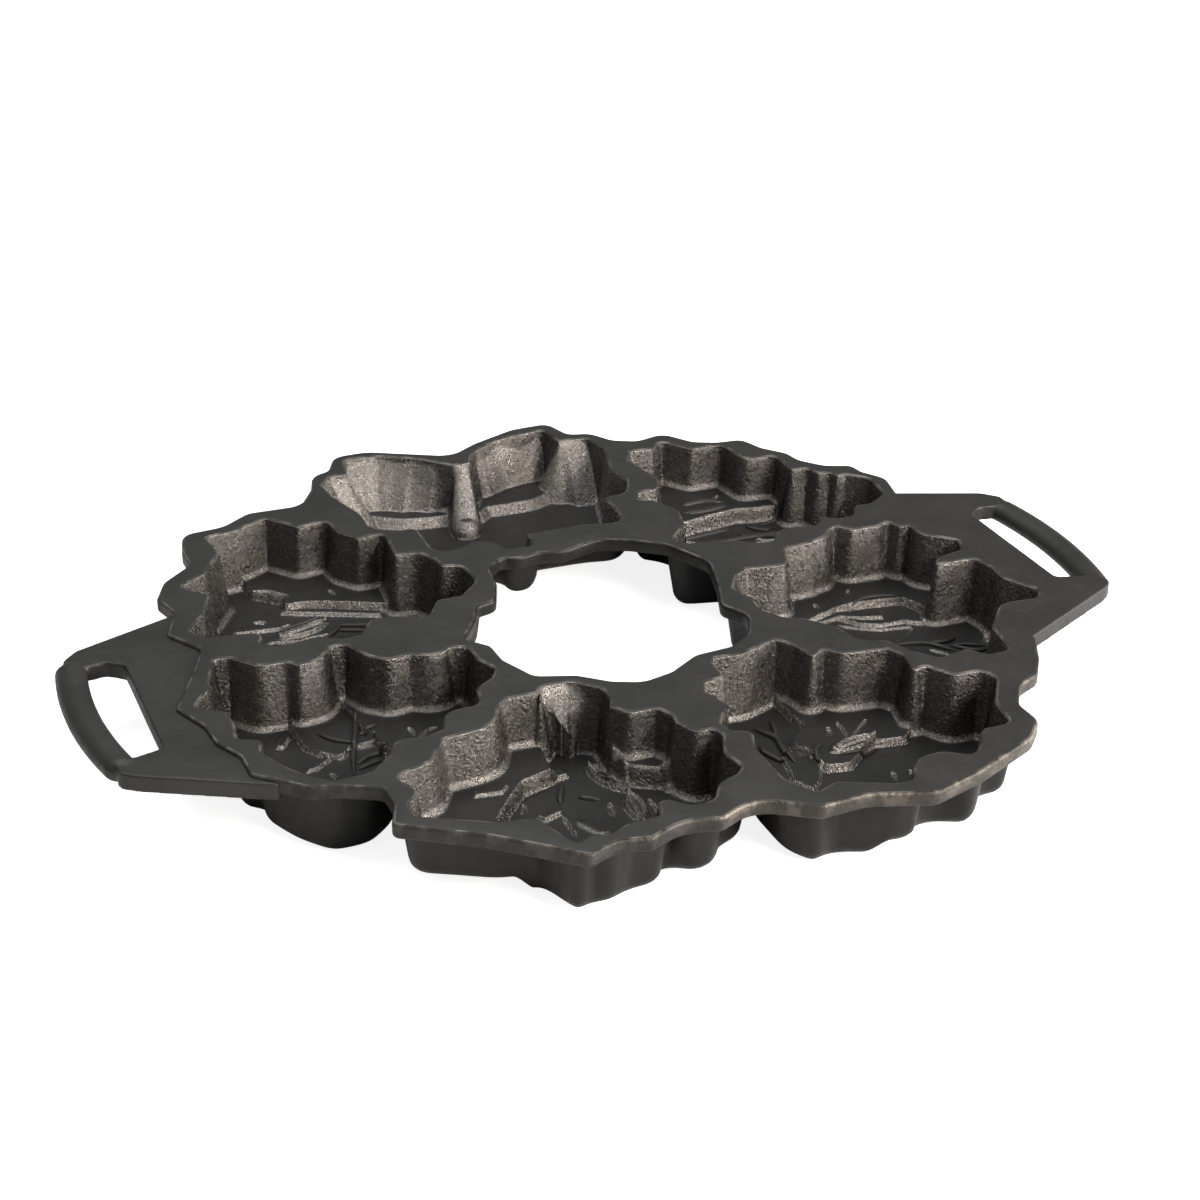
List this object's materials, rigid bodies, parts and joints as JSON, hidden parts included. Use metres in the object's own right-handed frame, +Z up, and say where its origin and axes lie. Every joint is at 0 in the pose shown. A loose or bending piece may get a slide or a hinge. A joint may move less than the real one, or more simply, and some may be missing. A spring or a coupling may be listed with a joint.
{
  "type": "cakelet pan",
  "caption": "Cast iron wreath cakelet pan: a scalloped ring deck with a bow cup, leaf-cluster cups, an open centre and a loop handle on each side.",
  "frame": {"origin": "centre of the pan's outline, on the plane that its cups stand on", "axes": "+Z up out of the cups, +X to the right handle, +Y to the bow"},
  "size_m": [0.396, 0.3418, 0.029],
  "materials": {
    "seasoned_iron": "seasoned black, smooth deck, pebbly drafted walls"
  },
  "bodies": {
    "root": {"wreath_deck": "seasoned_iron", "bow_cup": "seasoned_iron", "upper_right_cup": "seasoned_iron", "right_cup": "seasoned_iron", "lower_right_cup": "seasoned_iron", "front_cup": "seasoned_iron", "lower_left_cup": "seasoned_iron", "upper_left_cup": "seasoned_iron", "handle_left": "seasoned_iron", "handle_right": "seasoned_iron"}
  },
  "joints": []
}
